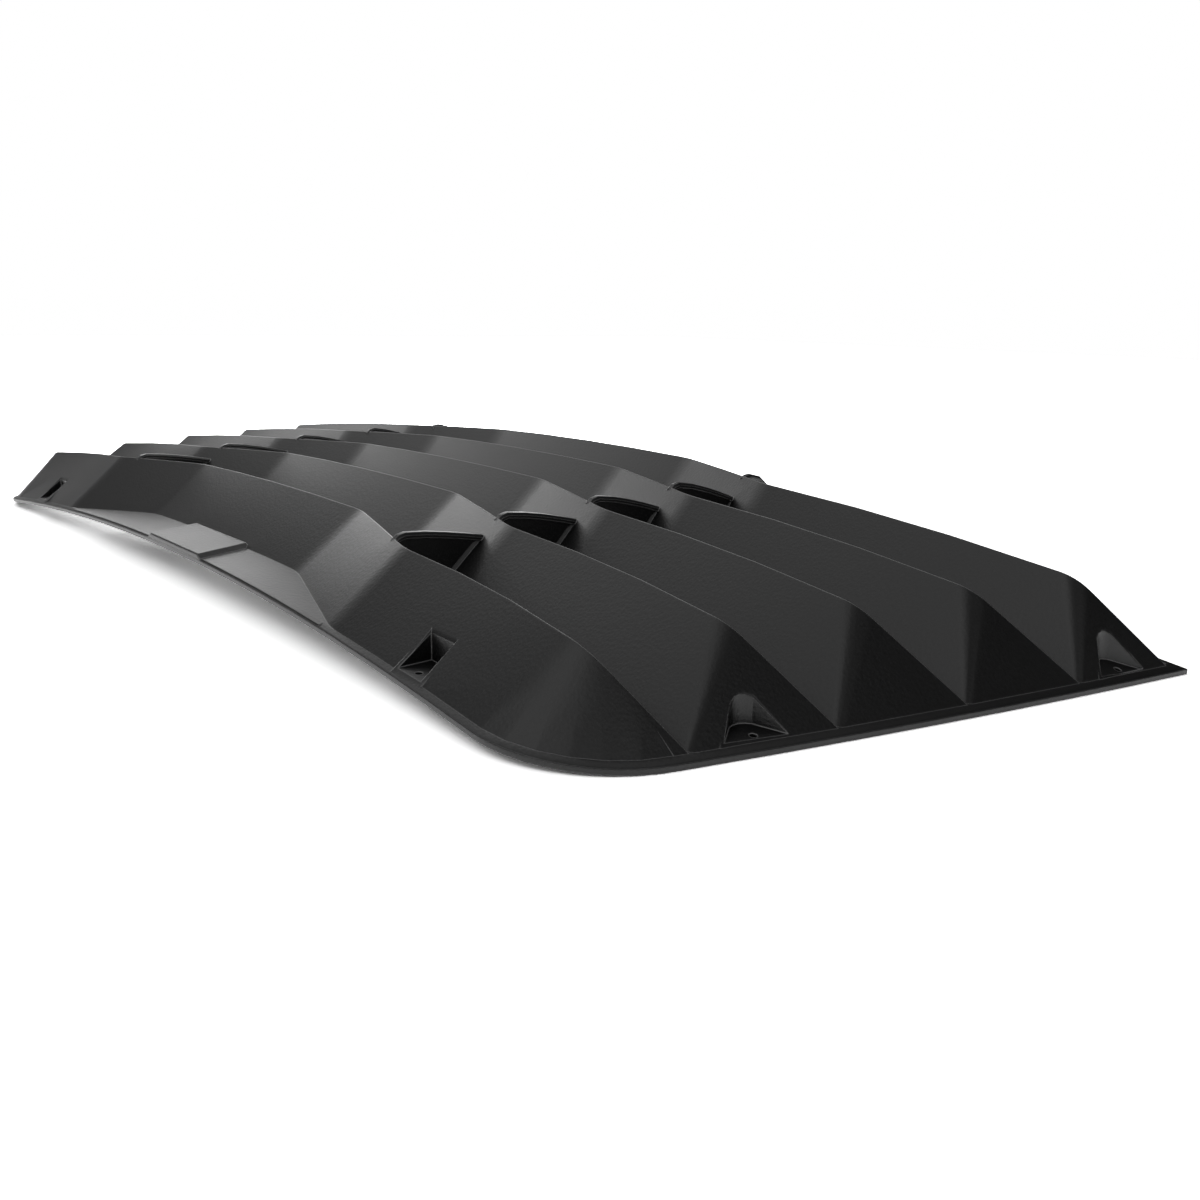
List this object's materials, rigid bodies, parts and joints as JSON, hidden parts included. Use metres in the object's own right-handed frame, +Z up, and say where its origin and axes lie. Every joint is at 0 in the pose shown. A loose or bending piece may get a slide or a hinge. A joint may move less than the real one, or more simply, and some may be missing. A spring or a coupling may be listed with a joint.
{
  "type": "rear window louver",
  "caption": "Arched black louver shell for a rear window, with folded slats over open slots, thin ribs, a low rim and screw pockets.",
  "frame": {"origin": "middle of the outline in X and Y, on the plane that the side rims lie on", "axes": "+X to the side across the vehicle, +Y from the front edge to the rear edge, towards the roof, +Z up away from the glass"},
  "size_m": [1.244, 0.466, 0.0933],
  "materials": {
    "shell": "satin black moulded plastic with a fine grain"
  },
  "bodies": {
    "root": {"louver_shell": "shell"}
  },
  "joints": []
}
